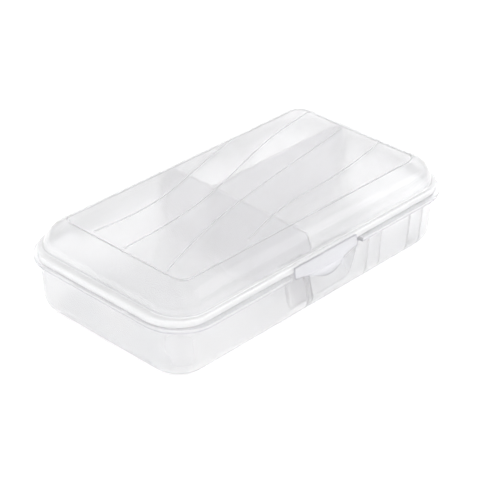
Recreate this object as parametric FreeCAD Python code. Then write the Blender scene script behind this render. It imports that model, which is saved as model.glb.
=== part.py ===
import FreeCAD, Part
import math
import os
from FreeCAD import Vector

# Divided storage box with a domed clear lid, in millimetres.
# X runs along the length, -Y is the front with the latch tab, +Z is up.
# The origin is the centre of the underside.
#
# The base tray's levels are one core rectangle grown outwards by a distance called
# reach, so its corners stay concentric: a corner's radius is its reach.

# Core rectangle, half sizes: of the base tray, and of the lid's skirt
CORE = (93.6, 40.0)
SKIRT_CORE = (94.5, 39.1)

# Base tray, outside profile as reach at height
WALL_LOW_REACH = 20.9
WALL_LOW_Z = 11.0
WALL_MID_REACH = 21.8
WALL_MID_Z = 26.0
FLARE_REACH = 22.2
FLARE_Z = 31.0
RIM_ROOT_REACH = 22.8
LEDGE_BOTTOM = 34.2
LEDGE_TOP = 36.7
LEDGE_REACH = 25.9
LEDGE_ROUND = 0.5
RIM_REACH = 21.1
BASE_TOP = 39.1
BASE_WALL = 2.0

# Lid: each level of the dome as (height, X half size, front, back, corner radius)
DOME_FOOT = (40.2, 114.0, 60.9, 60.9, 20.7)
DOME_MID = (51.2, 110.0, 57.2, 55.1, 16.4)
DOME_TOP = (57.0, 99.7, 48.9, 46.3, 6.6)
FLANGE_TOP = 41.0
FLANGE_BOTTOM = 39.4
SKIRT_REACH = 23.7
SKIRT_INSIDE = 22.3
SKIRT_BOTTOM = 37.0
SKIRT_ROUND = 1.0
FOOT_FILLET = 0.6
FOOT_MARGIN = 0.4
LEVEL_MARGIN = 0.04
LID_WALL = 1.4
MID_WALL_ACROSS = 0.75
MID_WALL_DOWN = 0.66
TOP_WALL_ACROSS = 0.4

# Finger scoop in the front wall, under the latch tab
SCOOP_FACE_Y = -(CORE[1] + WALL_MID_REACH)
SCOOP_BOTTOM = 12.0
SCOOP_TOP_HALF = 31.0
SCOOP_BOTTOM_HALF = 27.0
SCOOP_TOP_DEPTH = 8.0
SCOOP_BOTTOM_DEPTH = 1.0
SCOOP_CORNER = 10.0
SCOOP_OUT = 20.0

# Latch tab: a bell-shaped tongue in front of the skirt, curved outwards at its tip
TAB_HALF = 26.5
TAB_GAP = 0.3
TAB_TOP = 40.2
TAB_END_Z = 33.6
TAB_TIP_Z = 27.2
TAB_THICK = 1.5
TAB_FLARE = 4.0
TAB_BOW = 1.0
TAB_SHOULDER = 12.0
TAB_TIP_HALF = 10.0
TAB_SAG = 0.8

# Hinge at the back
HINGE_Y = 68.4
HINGE_Z = 33.0
HINGE_X = 62.0
BARREL_RADIUS = 2.9
BARREL_LENGTH = 14.0
BARREL_BORE = 1.05
PIN_RADIUS = 1.0
LUG_THICK = 3.0
LUG_DROP = 9.3
SIDE_GAP = 0.3
ARM_OUT = 0.6
HEEL_ANGLE = 65.0
HEEL_LENGTH = 5.1
HEEL_THICK = 2.0
HINGES = (-HINGE_X - BARREL_LENGTH / 2, HINGE_X - BARREL_LENGTH / 2)

# Dividers and their guide ribs
DIVIDER_THICK = 1.6
DIVIDER_TOP = 51.0
DIVIDER_GAP = 0.4
LID_GAP = 1.0
CROSS_X = -8.0
CROSS_MIDDLE = CROSS_X + DIVIDER_THICK / 2
LONG_Y = 19.0
RIB_THICK = 1.6
RIB_DEPTH = 3.0
RIB_LOW = 5.0
RIB_TOP = 34.0
CROSS_RIB_HALF = DIVIDER_THICK / 2 + SIDE_GAP + RIB_THICK / 2
SPARE_RIB_HALF = 5.9
RIB_PAIRS = (
    (CROSS_MIDDLE, CROSS_RIB_HALF, (-1, 1)),
    (48.1, SPARE_RIB_HALF, (-1,)),
    (86.5, SPARE_RIB_HALF, (-1,)),
)
SLOT_RIB = 1.2
SLOT_DEPTH = 3.0
SLOT_TOP = 48.0
SLOT_BITE = 0.25

# Small overlap that makes fused solids share a volume, and a size beyond the whole box
BITE = 1.0
BIG = 200.0

ALONG_X = Vector(1, 0, 0)
UP = Vector(0, 0, 1)


def line(start, end):
    return Part.LineSegment(start, end).toShape()


def arc(start, through, end):
    return Part.Arc(start, through, end).toShape()


def outline(start, *steps):
    """A closed face in the reach-height plane. A step is an end point, or (through, end) for an arc."""
    edges = []
    first = Vector(start[0], 0, start[1])
    here = first
    for step in steps:
        if isinstance(step[0], tuple):
            end = Vector(step[1][0], 0, step[1][1])
            edges.append(arc(here, Vector(step[0][0], 0, step[0][1]), end))
        else:
            end = Vector(step[0], 0, step[1])
            edges.append(line(here, end))
        here = end
    edges.append(line(here, first))
    return Part.Face(Part.Wire(edges))


def round_middle(low, high):
    """How far in from the corner of its square a quarter round of that size passes."""
    return (high - low) * (1 - math.sqrt(0.5))


def around(profile, core):
    """Carries a reach-height profile round a core rectangle: four bars and four quarter turns."""
    half_x, half_y = core
    stops = (
        (half_x, half_y, 0, Vector(0, -2 * half_y, 0)),
        (-half_x, half_y, 90, Vector(2 * half_x, 0, 0)),
        (-half_x, -half_y, 180, Vector(0, 2 * half_y, 0)),
        (half_x, -half_y, 270, Vector(-2 * half_x, 0, 0)),
    )
    pieces = []
    for x, y, turn, along in stops:
        section = profile.copy()
        section.rotate(Vector(0, 0, 0), UP, turn)
        section.translate(Vector(x, y, 0))
        pieces.append(section.revolve(Vector(x, y, 0), UP, 90))
        pieces.append(section.extrude(along))
    return pieces


def fused(pieces):
    return pieces[0].fuse(pieces[1:]).removeSplitter()


def block(profile, core, low, high):
    """A profile that starts on the core's edge, with the core filled in from low to high."""
    half_x, half_y = core
    middle = box(-half_x, half_x, -half_y, half_y, low, high)
    return fused([middle] + around(profile, core))


def box(x0, x1, y0, y1, z0, z1):
    return Part.makeBox(x1 - x0, y1 - y0, z1 - z0, Vector(x0, y0, z0))


def tray_space(inset):
    """The hollow of the base tray, shrunk by inset, open upwards."""
    step = BASE_WALL + inset
    low = WALL_LOW_REACH - step
    foot = low - (WALL_LOW_Z - step)
    bend = round_middle(step, WALL_LOW_Z)
    top = BASE_TOP + BITE
    profile = outline(
        (0, step),
        (foot, step),
        ((low - bend, step + bend), (low, WALL_LOW_Z)),
        (WALL_MID_REACH - step, WALL_MID_Z),
        (WALL_MID_REACH - step, top),
        (0, top),
    )
    return block(profile, CORE, step, top).cut(scoop(step))


def scoop_section(z, half, depth, grow):
    """One level of the finger scoop: a shallow pocket with round inner corners, open to the front."""
    face = SCOOP_FACE_Y
    half = half + grow
    back = face + depth + grow
    inner = half - SCOOP_CORNER
    lift = face + (back - face) * math.sqrt(0.5)
    swing = inner + SCOOP_CORNER * math.sqrt(0.5)
    front = face - SCOOP_OUT
    edges = [
        arc(Vector(-half, face, z), Vector(-swing, lift, z), Vector(-inner, back, z)),
        line(Vector(-inner, back, z), Vector(inner, back, z)),
        arc(Vector(inner, back, z), Vector(swing, lift, z), Vector(half, face, z)),
        line(Vector(half, face, z), Vector(half, front, z)),
        line(Vector(half, front, z), Vector(-half, front, z)),
        line(Vector(-half, front, z), Vector(-half, face, z)),
    ]
    return Part.Wire(edges)


def scoop(grow):
    """The finger scoop as a cutter. With grow it is the same pocket with a wall's thickness added."""
    low = scoop_section(SCOOP_BOTTOM - grow, SCOOP_BOTTOM_HALF, SCOOP_BOTTOM_DEPTH, grow)
    high = scoop_section(LEDGE_TOP, SCOOP_TOP_HALF, SCOOP_TOP_DEPTH, grow)
    return Part.makeLoft([low, high], True, True)


def level(values, across, down):
    """A round-cornered rectangle for one level of the dome, moved inwards and down."""
    z, half_x, front, back, radius = values
    z = z - down
    x = half_x - across
    y0 = across - front
    y1 = back - across
    r = radius - across
    bend = r * (1 - math.sqrt(0.5))
    edges = [
        line(Vector(r - x, y0, z), Vector(x - r, y0, z)),
        arc(Vector(x - r, y0, z), Vector(x - bend, y0 + bend, z), Vector(x, y0 + r, z)),
        line(Vector(x, y0 + r, z), Vector(x, y1 - r, z)),
        arc(Vector(x, y1 - r, z), Vector(x - bend, y1 - bend, z), Vector(x - r, y1, z)),
        line(Vector(x - r, y1, z), Vector(r - x, y1, z)),
        arc(Vector(r - x, y1, z), Vector(bend - x, y1 - bend, z), Vector(-x, y1 - r, z)),
        line(Vector(-x, y1 - r, z), Vector(-x, y0 + r, z)),
        arc(Vector(-x, y0 + r, z), Vector(bend - x, y0 + bend, z), Vector(r - x, y0, z)),
    ]
    return Part.Wire(edges)


def dome(step):
    """The dome as a solid, with its surface moved inwards by step."""
    foot = level(DOME_FOOT, step, 0)
    middle = level(DOME_MID, MID_WALL_ACROSS * step, MID_WALL_DOWN * step)
    top = level(DOME_TOP, TOP_WALL_ACROSS * step, step)
    return Part.makeLoft([foot, middle, top], True, False)


def lid_space(inset):
    """The room under the dome, shrunk by inset, down through the flange."""
    step = LID_WALL + inset
    foot = Part.Face(level(DOME_FOOT, step, 0))
    return dome(step).fuse(foot.extrude(Vector(0, 0, SKIRT_BOTTOM - DOME_FOOT[0])))


def across(x0, x1, side, low, high):
    """A slab between two X planes, on the front (-1) or back (+1) half of the box."""
    if side < 0:
        return box(x0, x1, -BIG, -CORE[1], low, high)
    return box(x0, x1, CORE[1], BIG, low, high)


def cylinder(x, radius, length):
    return Part.makeCylinder(radius, length, Vector(x, HINGE_Y, HINGE_Z), ALONG_X)


def plate(points, x, thick):
    """A flat plate across X, from its outline as (Y, Z) points."""
    corners = [Vector(x, y, z) for y, z in points]
    return Part.Face(Part.makePolygon(corners + corners[:1])).extrude(Vector(thick, 0, 0))


def lug(x):
    """One of the base's hinge lugs: a round-nosed plate that stands out of the back wall."""
    root = -SCOOP_FACE_Y - BITE / 2
    slope = BARREL_RADIUS * math.sqrt(0.5)
    points = [
        (root, HINGE_Z - LUG_DROP),
        (HINGE_Y + slope, HINGE_Z - slope),
        (HINGE_Y, HINGE_Z + BARREL_RADIUS),
        (root, HINGE_Z + BARREL_RADIUS),
    ]
    return cylinder(x, BARREL_RADIUS, LUG_THICK).fuse(plate(points, x, LUG_THICK))


def slot_rib(side, x0, x1, top):
    """A rib on one side of the long divider's end."""
    near = LONG_Y + side * (DIVIDER_THICK / 2 + SIDE_GAP)
    far = near + side * SLOT_RIB
    return box(x0, x1, min(near, far), max(near, far), RIB_LOW, top)


def tray_ribs(space):
    """The guide ribs: pairs on the front (-1) or back (1) wall, and a slot on the right wall."""
    hollow = tray_space(RIB_DEPTH)
    slabs = []
    for station, half, sides in RIB_PAIRS:
        for x in (station - half, station + half):
            for side in sides:
                slabs.append(across(x - RIB_THICK / 2, x + RIB_THICK / 2, side, RIB_LOW, RIB_TOP))
    for side in (-1, 1):
        slabs.append(slot_rib(side, CORE[0], BIG, RIB_TOP))
    return [slab.common(space).cut(hollow) for slab in slabs]


def make_base():
    bend = round_middle(0, WALL_LOW_Z)
    curl = round_middle(0, LEDGE_ROUND)
    outside = outline(
        (0, 0),
        (WALL_LOW_REACH - WALL_LOW_Z, 0),
        ((WALL_LOW_REACH - bend, bend), (WALL_LOW_REACH, WALL_LOW_Z)),
        (WALL_MID_REACH, WALL_MID_Z),
        ((FLARE_REACH, FLARE_Z), (RIM_ROOT_REACH, LEDGE_BOTTOM)),
        (LEDGE_REACH - LEDGE_ROUND, LEDGE_BOTTOM),
        ((LEDGE_REACH - curl, LEDGE_BOTTOM + curl), (LEDGE_REACH, LEDGE_BOTTOM + LEDGE_ROUND)),
        (LEDGE_REACH, LEDGE_TOP - LEDGE_ROUND),
        ((LEDGE_REACH - curl, LEDGE_TOP - curl), (LEDGE_REACH - LEDGE_ROUND, LEDGE_TOP)),
        (RIM_REACH, LEDGE_TOP),
        (RIM_REACH, BASE_TOP),
        (0, BASE_TOP),
    )
    space = tray_space(0.0)
    body = block(outside, CORE, 0, BASE_TOP).cut(scoop(0.0)).cut(space)
    body = body.fuse(tray_ribs(space))

    reach = BARREL_LENGTH + SIDE_GAP
    for start in HINGES:
        notch_y = CORE[1] + RIM_ROOT_REACH
        body = body.cut(box(start - SIDE_GAP, start + reach, notch_y, BIG, LEDGE_BOTTOM - BITE, LEDGE_TOP))
        for x in (start - SIDE_GAP - LUG_THICK, start + reach):
            body = body.fuse(lug(x))
        body = body.cut(cylinder(start - BARREL_LENGTH / 2, PIN_RADIUS, 2 * BARREL_LENGTH))
    return body.removeSplitter()


def foot_edges(shape):
    """The edges where the dome meets the top of the flange."""
    far_x = SKIRT_CORE[0] + SKIRT_REACH - SKIRT_ROUND - FOOT_MARGIN
    far_y = SKIRT_CORE[1] + SKIRT_REACH - SKIRT_ROUND - FOOT_MARGIN
    found = []
    for edge in shape.Edges:
        ends = [vertex.Point for vertex in edge.Vertexes]
        level_with_flange = all(abs(end.z - FLANGE_TOP) < LEVEL_MARGIN for end in ends)
        inside = all(abs(end.x) < far_x and abs(end.y) < far_y for end in ends)
        if level_with_flange and inside:
            found.append(edge)
    return found


def make_lid():
    curl = round_middle(0, SKIRT_ROUND)
    rim = outline(
        (0, SKIRT_BOTTOM),
        (SKIRT_REACH, SKIRT_BOTTOM),
        (SKIRT_REACH, FLANGE_TOP - SKIRT_ROUND),
        ((SKIRT_REACH - curl, FLANGE_TOP - curl), (SKIRT_REACH - SKIRT_ROUND, FLANGE_TOP)),
        (0, FLANGE_TOP),
    )
    under = outline((0, 0), (SKIRT_INSIDE, 0), (SKIRT_INSIDE, FLANGE_BOTTOM), (0, FLANGE_BOTTOM))
    body = block(rim, SKIRT_CORE, SKIRT_BOTTOM, FLANGE_TOP).fuse(dome(0.0)).removeSplitter()
    body = body.makeFillet(FOOT_FILLET, foot_edges(body))
    body = body.cut(block(under, SKIRT_CORE, 0, FLANGE_BOTTOM)).cut(lid_space(0.0))
    for start in HINGES:
        body = body.fuse(hinge_arm(start))
        body = body.cut(cylinder(start - BARREL_LENGTH / 2, BARREL_BORE, 2 * BARREL_LENGTH))
    return body.removeSplitter()


def hinge_arm(start):
    """The lid's half of a hinge: a barrel on an arm off the skirt, and the heel that stops the lid."""
    skirt_y = SKIRT_CORE[1] + SKIRT_REACH
    arm_top = FLANGE_TOP - SKIRT_ROUND
    slope = BARREL_RADIUS * math.sqrt(0.5)
    points = [
        (skirt_y - BITE, SKIRT_BOTTOM),
        (skirt_y - BITE, arm_top),
        (skirt_y + ARM_OUT, arm_top),
        (HINGE_Y + BARREL_RADIUS, HINGE_Z),
        (HINGE_Y, HINGE_Z),
        (HINGE_Y - slope, HINGE_Z + slope),
        (skirt_y + ARM_OUT, SKIRT_BOTTOM),
    ]
    heel = box(start, start + BARREL_LENGTH, HINGE_Y, HINGE_Y + HEEL_LENGTH,
               HINGE_Z - HEEL_THICK / 2, HINGE_Z + HEEL_THICK / 2)
    heel.rotate(Vector(start, HINGE_Y, HINGE_Z), ALONG_X, -HEEL_ANGLE)
    return cylinder(start, BARREL_RADIUS, BARREL_LENGTH).fuse([plate(points, start, BARREL_LENGTH), heel])


def tab_side(side):
    """Half of the tab's bell-shaped lower edge, from its shoulder (side -1) or back up to it (side 1)."""
    poles = [
        Vector(side * TAB_HALF, -BIG, TAB_END_Z),
        Vector(side * TAB_SHOULDER, -BIG, TAB_END_Z - TAB_SAG),
        Vector(side * TAB_TIP_HALF, -BIG, TAB_TIP_Z),
        Vector(0, -BIG, TAB_TIP_Z),
    ]
    curve = Part.BezierCurve()
    curve.setPoles(poles if side < 0 else poles[::-1])
    return curve.toShape()


def make_latch_tab():
    """A tongue cut by its bell-shaped front outline from a strip that curves outwards at the bottom."""
    inner_y = -(SKIRT_CORE[1] + SKIRT_REACH + TAB_GAP)
    outer_y = inner_y - TAB_THICK
    bow_y = -TAB_BOW
    middle_z = (TAB_TOP + TAB_TIP_Z) / 2
    low_z = TAB_TIP_Z - BITE
    left = -TAB_HALF
    strip_edges = [
        arc(Vector(left, inner_y, TAB_TOP), Vector(left, inner_y + bow_y, middle_z),
            Vector(left, inner_y - TAB_FLARE, low_z)),
        line(Vector(left, inner_y - TAB_FLARE, low_z), Vector(left, outer_y - TAB_FLARE, low_z)),
        arc(Vector(left, outer_y - TAB_FLARE, low_z), Vector(left, outer_y + bow_y, middle_z),
            Vector(left, outer_y, TAB_TOP)),
        line(Vector(left, outer_y, TAB_TOP), Vector(left, inner_y, TAB_TOP)),
    ]
    strip = Part.Face(Part.Wire(strip_edges)).extrude(Vector(2 * TAB_HALF, 0, 0))
    front_edges = [
        tab_side(-1),
        tab_side(1),
        line(Vector(TAB_HALF, -BIG, TAB_END_Z), Vector(TAB_HALF, -BIG, TAB_TOP)),
        line(Vector(TAB_HALF, -BIG, TAB_TOP), Vector(left, -BIG, TAB_TOP)),
        line(Vector(left, -BIG, TAB_TOP), Vector(left, -BIG, TAB_END_Z)),
    ]
    bell = Part.Face(Part.Wire(front_edges)).extrude(Vector(0, BIG, 0))
    return strip.common(bell)


def divider_space(inset):
    """The room a divider may fill: the tray's hollow, and above it the room under the dome."""
    low = tray_space(inset).common(box(-BIG, BIG, -BIG, BIG, 0, BASE_TOP))
    over = lid_space(LID_GAP).common(box(-BIG, BIG, -BIG, BIG, BASE_TOP - BITE, DIVIDER_TOP))
    return low.fuse(over)


def make_cross_divider(space):
    """A plate from wall to wall, with a slot for the long divider's end on its right face."""
    face = CROSS_X + DIVIDER_THICK
    parts = [slot_rib(side, face - SLOT_BITE, face + SLOT_DEPTH, SLOT_TOP) for side in (-1, 1)]
    return box(CROSS_X, face, -BIG, BIG, 0, DIVIDER_TOP).common(space).fuse(parts).removeSplitter()


def make_long_divider(space):
    start = CROSS_X + DIVIDER_THICK + SIDE_GAP
    half = DIVIDER_THICK / 2
    return box(start, BIG, LONG_Y - half, LONG_Y + half, 0, DIVIDER_TOP).common(space)


def make_pin(start):
    overhang = SIDE_GAP + LUG_THICK
    return cylinder(start - overhang, PIN_RADIUS, BARREL_LENGTH + 2 * overhang)


def main():
    os.makedirs("parts", exist_ok=True)
    space = divider_space(DIVIDER_GAP)
    left_hinge, right_hinge = HINGES
    nodes = {
        "base_tray": make_base(),
        "lid": make_lid(),
        "latch_tab": make_latch_tab(),
        "cross_divider": make_cross_divider(space),
        "long_divider": make_long_divider(space),
        "hinge_pin_left": make_pin(left_hinge),
        "hinge_pin_right": make_pin(right_hinge),
    }
    for name, shape in nodes.items():
        solids = shape.Solids
        print(name, "solids", len(solids), "valid", shape.isValid(), "volume %.0f" % shape.Volume)
        solids[0].exportStep("parts/" + name + ".step")


main()
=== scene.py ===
import math

import bmesh
import bpy
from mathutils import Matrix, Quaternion, Vector


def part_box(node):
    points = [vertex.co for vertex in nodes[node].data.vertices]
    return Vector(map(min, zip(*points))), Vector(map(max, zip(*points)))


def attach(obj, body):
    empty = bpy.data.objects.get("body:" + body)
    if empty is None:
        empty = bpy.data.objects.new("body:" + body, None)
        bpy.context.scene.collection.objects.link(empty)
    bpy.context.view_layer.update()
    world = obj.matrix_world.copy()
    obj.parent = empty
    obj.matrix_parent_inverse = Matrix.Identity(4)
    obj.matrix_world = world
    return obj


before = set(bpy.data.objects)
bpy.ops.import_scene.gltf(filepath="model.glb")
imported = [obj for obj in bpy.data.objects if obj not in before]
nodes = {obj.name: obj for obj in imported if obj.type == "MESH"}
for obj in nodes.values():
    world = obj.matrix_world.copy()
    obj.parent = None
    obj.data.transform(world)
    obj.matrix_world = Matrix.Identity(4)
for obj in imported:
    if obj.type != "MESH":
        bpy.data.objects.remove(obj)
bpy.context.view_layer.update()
scene = bpy.context.scene

# Heights on the case, in metres above its underside
TRAY_FLARE = 0.0315
TRAY_LEDGE = 0.0345
LID_FOOT = 0.0412
PANEL_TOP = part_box("lid")[1][2]
BLEND = 0.0015

# Share of light let through: the lid's dome and its milkier foot, the tab, the tray, the dividers
DOME_CLEAR = 0.80
FOOT_CLEAR = 0.45
TAB_CLEAR = 0.72
WALL_CLEAR = 0.74
RIM_CLEAR = 0.66
DIVIDER_CLEAR = 0.72

# Tray tints: painted shade greying the wall's root under the ledge, where the ledge shades it; whiter on
# the rim above it
LEDGE_SHADE_TINT = (0.80, 0.80, 0.83, 1.0)
RIM_TINT = (0.99, 0.99, 0.995, 1.0)

# The lid panel's rounded outline: half length, front and back edge, corner radius, in millimetres
PANEL_HALF = 99.3
PANEL_FRONT = -48.5
PANEL_BACK = 45.9
PANEL_CORNER = 6.4
CORNER_STEPS = 6

# Wavy ridges moulded on the panel: points in millimetres along and across it
WAVES = (
    ((-96, 24), (-61, 20), (-27, 27), (12, 40), (34, 45)),
    ((-98, -1), (-55, 0), (-17, 8), (25, 21), (60, 33), (98, 37)),
    ((-96, -34), (-63, -21), (-20, -10), (38, -1), (70, 3), (96, 8)),
    ((-42, -43), (-23, -36), (10, -28), (50, -31), (100, -20)),
)
MILLIMETRE = 0.001
RIDGE_RADIUS = 0.0003
RIDGE_RISE = 0.0001

# The middle of a noise, where most of its values lie
NOISE_LOW = 0.3
NOISE_HIGH = 0.7

# Noise scales, in waves per metre
MOULD_GRAIN = 2400.0
POLISH = 900.0

# Camera, in metres, with its lens and sensor in millimetres
CAMERA_PLACE = (-0.662, -0.610, 0.5593)
CAMERA_TARGET = (-0.0012, 0.0013, 0.0206)
CAMERA_ROLL = math.radians(1.095)
CAMERA_LENS = 133.0
CAMERA_SENSOR = 36.0

# Studio: a lit floor, a window light at the front right, and a sky that brightens upwards
FLOOR_HALF = 6.0
FLOOR_DROP = 0.0002
WHITE = (1.0, 1.0, 1.0, 1.0)
HORIZON = 0.85
ZENITH = 1.27
SKY_RISE = 0.5
WINDOW_PLACE = (0.655, -0.87, 0.72)
WINDOW_TARGET = (0.0, -0.05, 0.03)
WINDOW_SIZE = (0.70, 0.8)
WINDOW_GLOW = 3.2


class Finish:
    """A procedural plastic or metal: one Principled shader, and noise measured on the object."""

    def __init__(self, name, color, **values):
        self.material = bpy.data.materials.new(name)
        self.material.use_nodes = True
        self.tree = self.material.node_tree
        self.shader = self.tree.nodes["Principled BSDF"]
        self.shader.inputs["Base Color"].default_value = (*color, 1.0)
        for key, value in values.items():
            self.shader.inputs[key.replace("_", " ")].default_value = value
        self.place = self.tree.nodes.new("ShaderNodeTexCoord").outputs["Object"]

    def node(self, kind, **inputs):
        made = self.tree.nodes.new(kind)
        for key, value in inputs.items():
            self.feed(made.inputs[key.replace("_", " ")], value)
        return made

    def feed(self, socket, value):
        if isinstance(value, bpy.types.NodeSocket):
            self.tree.links.new(value, socket)
        else:
            socket.default_value = value

    def noise(self, scale, detail=3.0, stretch=None):
        """A noise from 0 to 1, with scale in waves per metre."""
        place = self.place
        if stretch:
            place = self.node("ShaderNodeMapping", Vector=place, Scale=stretch).outputs["Vector"]
        return self.node("ShaderNodeTexNoise", Vector=place, Scale=scale, Detail=detail).outputs["Fac"]

    def spread(self, value, start, end, low, high):
        """Carries a value from the range start..end to low..high, with smooth ends."""
        made = self.node("ShaderNodeMapRange", Value=value)
        made.interpolation_type = "SMOOTHSTEP"
        for key, number in zip(("From Min", "From Max", "To Min", "To Max"), (start, end, low, high)):
            self.feed(made.inputs[key], number)
        return made.outputs["Result"]

    def vary(self, noise, low, high):
        """Carries the middle of a noise, where most of its values lie, to low..high."""
        return self.spread(noise, NOISE_LOW, NOISE_HIGH, low, high)

    def height(self):
        """The height above the case's underside, in metres."""
        return self.node("ShaderNodeSeparateXYZ", Vector=self.place).outputs["Z"]

    def mix(self, factor, first, second):
        made = self.node("ShaderNodeMix")
        made.data_type = "RGBA"
        self.feed(made.inputs["Factor"], factor)
        self.feed(made.inputs["A"], first)
        self.feed(made.inputs["B"], second)
        return made.outputs["Result"]

    def set(self, **links):
        for key, value in links.items():
            self.feed(self.shader.inputs[key.replace("_", " ")], value)

    def bump(self, *layers):
        """Layers are (height, depth in metres), the coarsest first."""
        normal = None
        for height, depth in layers:
            made = self.node("ShaderNodeBump", Height=height, Distance=depth)
            if normal:
                self.feed(made.inputs["Normal"], normal)
            normal = made.outputs["Normal"]
        self.set(Normal=normal)

    def absorb(self, color, density):
        volume = self.node("ShaderNodeVolumeAbsorption", Color=(*color, 1.0), Density=density)
        self.tree.links.new(volume.outputs["Volume"], self.tree.nodes["Material Output"].inputs["Volume"])


def clear_finish(name, color, smooth, rough, clear):
    """Clear styrene: a glossy skin, and a haze that blurs what lies deep below."""
    finish = Finish(name, color, IOR=1.4, Coat_Weight=0.6, Coat_Roughness=0.03, Transmission_Weight=clear)
    finish.set(Roughness=finish.vary(finish.noise(26.0), smooth, rough))
    finish.bump((finish.noise(38.0, 1.0), 0.0001), (finish.noise(POLISH), 0.000001))
    finish.absorb((0.55, 0.55, 0.68), 7.0)
    return finish


def tab_finish():
    """The latch tab's plastic: the lid's, a little greyer."""
    return clear_finish("clear_styrene_tab", (0.90, 0.90, 0.925), 0.16, 0.22, TAB_CLEAR).material


def lid_finish():
    """The lid's plastic, milkier in the thick flange and skirt below the dome."""
    finish = clear_finish("clear_styrene", (0.985, 0.985, 0.99), 0.22, 0.26, DOME_CLEAR)
    above = finish.spread(finish.height(), LID_FOOT, LID_FOOT + BLEND, FOOT_CLEAR, DOME_CLEAR)
    finish.set(Transmission_Weight=above)
    return finish.material


def tray_finish():
    """Frosted polypropylene: cloudy walls with a fine spark-eroded grain, painted shade greying the wall
    under the ledge, and a smoother rim.
    """
    finish = Finish("frosted_polypropylene", (0.975, 0.975, 0.982), IOR=1.38)
    cloud = finish.noise(34.0, 4.0)
    grain = finish.noise(MOULD_GRAIN, 2.0)
    tone = finish.vary(cloud, 0.0, 1.0)
    wall = finish.mix(tone, (0.992, 0.988, 0.992, 1.0), (0.972, 0.974, 0.984, 1.0))
    # painted shade: the wall greys from the flare up to the ledge, standing in for the ledge's shadow on
    # the wall below it
    below = finish.mix(finish.spread(finish.height(), TRAY_FLARE, TRAY_LEDGE, 0.0, 1.0), wall, LEDGE_SHADE_TINT)
    above = finish.spread(finish.height(), TRAY_LEDGE, TRAY_LEDGE + BLEND, 0.0, 1.0)
    clear = finish.spread(finish.height(), TRAY_LEDGE - BLEND / 3, TRAY_LEDGE, WALL_CLEAR, RIM_CLEAR)
    finish.set(
        Base_Color=finish.mix(above, below, RIM_TINT),
        Roughness=finish.vary(cloud, 0.19, 0.26),
        Transmission_Weight=clear,
    )
    finish.bump((finish.noise(60.0, 2.0), 0.00006), (grain, 0.000001))
    finish.absorb((0.60, 0.60, 0.72), 3.0)
    return finish.material


def divider_finish():
    """Frosted divider sheet: faint flow marks across it and a fine grain."""
    finish = Finish("divider_polypropylene", (0.95, 0.945, 0.968), IOR=1.4)
    flow = finish.noise(22.0, 4.0, stretch=(1.0, 1.0, 2.5))
    tone = finish.vary(flow, 0.0, 1.0)
    finish.set(
        Base_Color=finish.mix(tone, (0.985, 0.975, 1.0, 1.0), (0.97, 0.96, 0.995, 1.0)),
        Roughness=finish.vary(flow, 0.32, 0.42),
        Transmission_Weight=DIVIDER_CLEAR,
    )
    finish.bump((flow, 0.0001), (finish.noise(MOULD_GRAIN, 2.0), 0.0000015))
    return finish.material


def pin_finish():
    """Bright drawn wire: fine scratches along its length."""
    finish = Finish("pin_steel_drawn", (0.62, 0.63, 0.64), Metallic=1.0)
    scratch = finish.noise(3000.0, 4.0, stretch=(0.04, 1.0, 1.0))
    tone = finish.vary(scratch, 0.0, 1.0)
    finish.set(
        Base_Color=finish.mix(tone, (0.56, 0.57, 0.58, 1.0), (0.68, 0.69, 0.70, 1.0)),
        Roughness=finish.vary(scratch, 0.22, 0.38),
    )
    finish.bump((scratch, 0.000008))
    return finish.material


def floor_finish():
    """Pale seamless paper, lit from within so that the case throws hardly any shadow."""
    finish = Finish("floor_paper", (0.9, 0.9, 0.9), Emission_Color=WHITE, Emission_Strength=0.39)
    fibre = finish.noise(500.0, 5.0)
    finish.set(Roughness=finish.vary(fibre, 0.75, 0.9))
    finish.bump((fibre, 0.00002))
    return finish.material


def dress(material, *names):
    """Gives CAD nodes one material in place of their own."""
    for name in names:
        slots = nodes[name].data.materials
        slots.clear()
        slots.append(material)


def link(name, data):
    made = bpy.data.objects.new(name, data)
    scene.collection.objects.link(made)
    return made


def panel_outline():
    """Points round the panel's edge, with each corner as an arc."""
    points = []
    corners = (
        (PANEL_HALF, PANEL_BACK, -1, -1, 0),
        (-PANEL_HALF, PANEL_BACK, 1, -1, 90),
        (-PANEL_HALF, PANEL_FRONT, 1, 1, 180),
        (PANEL_HALF, PANEL_FRONT, -1, 1, 270),
    )
    for x, y, inward_x, inward_y, start in corners:
        for step in range(CORNER_STEPS + 1):
            turn = math.radians(start + 90 * step / CORNER_STEPS)
            points.append((
                x + PANEL_CORNER * (inward_x + math.cos(turn)),
                y + PANEL_CORNER * (inward_y + math.sin(turn)),
            ))
    return points


def ridge(name, points, material, closed=False):
    """A low rounded ridge on the flat panel: a smooth line through its points, or a closed outline."""
    curve = bpy.data.curves.new(name, "CURVE")
    curve.dimensions = "3D"
    curve.bevel_depth = RIDGE_RADIUS
    curve.bevel_resolution = 3
    curve.resolution_u = 10
    curve.use_fill_caps = True
    spline = curve.splines.new("POLY" if closed else "NURBS")
    spline.points.add(len(points) - 1)
    level = PANEL_TOP + RIDGE_RISE - RIDGE_RADIUS
    for point, (x, y) in zip(spline.points, points):
        point.co = (x * MILLIMETRE, y * MILLIMETRE, level, 1.0)
    spline.use_cyclic_u = closed
    spline.order_u = 4
    spline.use_endpoint_u = not closed
    curve.materials.append(material)
    made = link(name, curve)
    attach(made, "lid")


def ridge_finish():
    """The ridges' finish: greyer and rougher than the lid's, so that they show as thin lines."""
    finish = Finish("clear_styrene_ridge", (0.91, 0.91, 0.93), IOR=1.4, Transmission_Weight=0.5)
    finish.set(Roughness=finish.vary(finish.noise(300.0), 0.45, 0.6))
    finish.bump((finish.noise(POLISH), 0.000004))
    return finish.material


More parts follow.
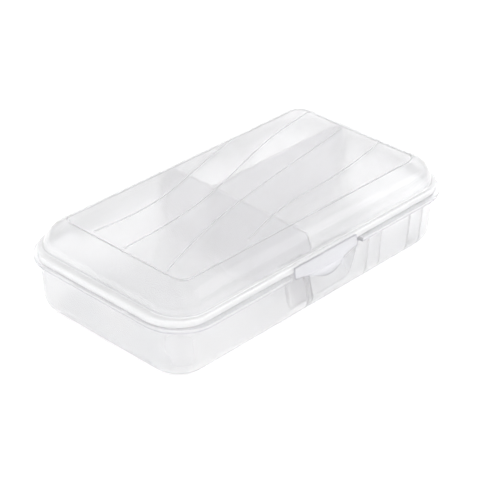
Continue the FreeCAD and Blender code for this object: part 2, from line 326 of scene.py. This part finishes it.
def make_floor():
    """A wide flat sheet just under the case."""
    mesh = bpy.data.meshes.new("floor")
    sheet = bmesh.new()
    bmesh.ops.create_grid(sheet, x_segments=8, y_segments=8, size=FLOOR_HALF)
    bmesh.ops.translate(sheet, vec=(0, 0, -FLOOR_DROP), verts=sheet.verts)
    sheet.to_mesh(mesh)
    sheet.free()
    mesh.materials.append(floor_finish())
    link("floor", mesh)


def aim(thing, place, target, roll=0.0):
    """Puts a camera or light in its place, turned to its target and rolled about its line of sight."""
    thing.location = place
    thing.rotation_mode = "QUATERNION"
    look = Vector(target) - Vector(place)
    thing.rotation_quaternion = look.to_track_quat("-Z", "Y") @ Quaternion((0, 0, 1), roll)


def make_camera():
    camera = bpy.data.cameras.new("camera")
    camera.lens = CAMERA_LENS
    camera.sensor_width = CAMERA_SENSOR
    made = link("camera", camera)
    aim(made, CAMERA_PLACE, CAMERA_TARGET, CAMERA_ROLL)
    scene.camera = made


def softbox(name, place, target, width, height, glow):
    """An area light, with its glow as light given off per square metre."""
    light = bpy.data.lights.new(name, "AREA")
    light.shape = "RECTANGLE"
    light.size = width
    light.size_y = height
    light.energy = glow * width * height
    aim(link(name, light), place, target)


def make_world():
    """An even white sky, softer at the horizon than overhead."""
    world = bpy.data.worlds.new("studio")
    world.use_nodes = True
    tree = world.node_tree
    backdrop = tree.nodes["Background"]
    backdrop.inputs["Color"].default_value = WHITE
    direction = tree.nodes.new("ShaderNodeSeparateXYZ")
    tree.links.new(tree.nodes.new("ShaderNodeTexCoord").outputs["Generated"], direction.inputs["Vector"])
    fade = tree.nodes.new("ShaderNodeMapRange")
    for key, number in zip(("From Min", "From Max", "To Min", "To Max"), (0.0, SKY_RISE, HORIZON, ZENITH)):
        fade.inputs[key].default_value = number
    tree.links.new(direction.outputs["Z"], fade.inputs["Value"])
    tree.links.new(fade.outputs["Result"], backdrop.inputs["Strength"])
    scene.world = world


def make_studio():
    make_floor()
    make_camera()
    softbox("window", WINDOW_PLACE, WINDOW_TARGET, *WINDOW_SIZE, WINDOW_GLOW)
    make_world()


def set_light_paths():
    """Room for light to pass through all the clear and frosted walls behind each other."""
    cycles = scene.cycles
    cycles.max_bounces = 32
    cycles.diffuse_bounces = 12
    cycles.glossy_bounces = 12
    cycles.transmission_bounces = 32
    scene.view_settings.view_transform = "Standard"


dress(lid_finish(), "lid")
dress(tab_finish(), "latch_tab")
dress(tray_finish(), "base_tray")
dress(divider_finish(), "cross_divider", "long_divider")
dress(pin_finish(), "hinge_pin_left", "hinge_pin_right")
ridge_material = ridge_finish()
ridge("panel_edge", panel_outline(), ridge_material, closed=True)
for number, route in enumerate(WAVES, start=1):
    ridge(f"panel_wave_{number}", route, ridge_material)
make_studio()
set_light_paths()
